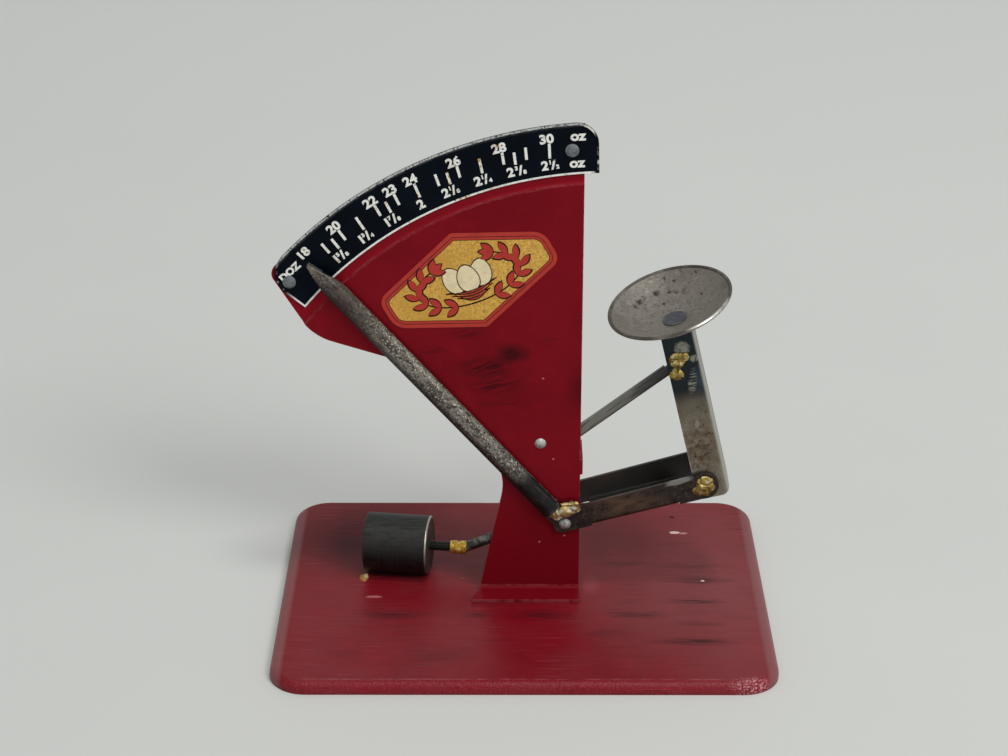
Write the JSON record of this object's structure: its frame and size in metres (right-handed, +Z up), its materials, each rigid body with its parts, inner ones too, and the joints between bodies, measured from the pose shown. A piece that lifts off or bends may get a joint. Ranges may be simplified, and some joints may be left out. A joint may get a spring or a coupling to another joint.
{
  "type": "egg scale",
  "caption": "Farmhouse egg scale: pressed base, fan panel with arc dial, pivoted arm with pointer and counterweight, post with egg dish.",
  "frame": {"origin": "middle of the base's footprint, where it meets the table", "axes": "+Z up; +X to the right as the dial is read; +Y away from the reader, so the dial faces -Y"},
  "size_m": [0.19, 0.14, 0.198],
  "materials": {
    "red_enamel": "brushed-on red enamel, worn",
    "black_dial": "black paint over embossed sheet, marks rubbed bright",
    "aluminium_rivet": "dull rivet metal",
    "printed_badge": "printed yellow field in a red border",
    "bare_steel": "bare pressed steel, pitted and stained",
    "dark_steel": "dark mottled steel",
    "blackened_steel": "blackened thread",
    "blackened_iron": "blackened turned iron",
    "braze_brass": "lumpy brass braze"
  },
  "bodies": {
    "root": {"base_tray": "red_enamel", "front_panel": "red_enamel", "dial_plate": "black_dial", "dial_rivets": "aluminium_rivet", "badge_plate": "printed_badge", "rear_bracket": "red_enamel", "tie_rivet": "aluminium_rivet", "tie_spacer": "bare_steel", "anchor_pin": "bare_steel", "anchor_sleeve": "bare_steel"},
    "beam": {"beam_arm": "dark_steel", "pointer": "dark_steel", "beam_braze": "braze_brass", "beam_pin": "aluminium_rivet", "pivot_washers": "bare_steel", "weight_hub": "dark_steel", "weight_bar": "dark_steel", "bar_braze": "braze_brass", "weight_screw": "blackened_steel", "arm_pin": "bare_steel", "arm_braze": "braze_brass"},
    "weight": {"counterweight": "blackened_iron"},
    "dish_post": {"post": "bare_steel", "dish": "bare_steel", "dish_rivet": "dark_steel", "link_pin": "bare_steel", "post_braze": "braze_brass"},
    "stay": {"stay_link": "bare_steel"}
  },
  "joints": [
    {"name": "beam_swing", "type": "hinge", "parent": "root", "child": "beam", "pos_m": [0.016, 0.0056, 0.0355], "axis": [0, 1, 0], "range_deg": [0, 42]},
    {"name": "post_swing", "type": "hinge", "parent": "beam", "child": "dish_post", "pos_m": [0.06937, 0.0056, 0.05212], "axis": [0, 1, 0], "range_deg": [-26, 0]},
    {"name": "stay_swing", "type": "hinge", "parent": "root", "child": "stay", "pos_m": [0.014, 0, 0.0676], "axis": [0, 1, 0], "range_deg": [0, 43.6]},
    {"name": "weight_trim", "type": "slide", "parent": "beam", "child": "weight", "axis": [0.9914, -0.1305, 0], "range_m": [-0.003, 0.005]}
  ],
  "couplings": [
    {"joint": "post_swing", "follows": "beam_swing", "ratio": -0.6133},
    {"joint": "stay_swing", "follows": "beam_swing", "ratio": 1.032}
  ]
}
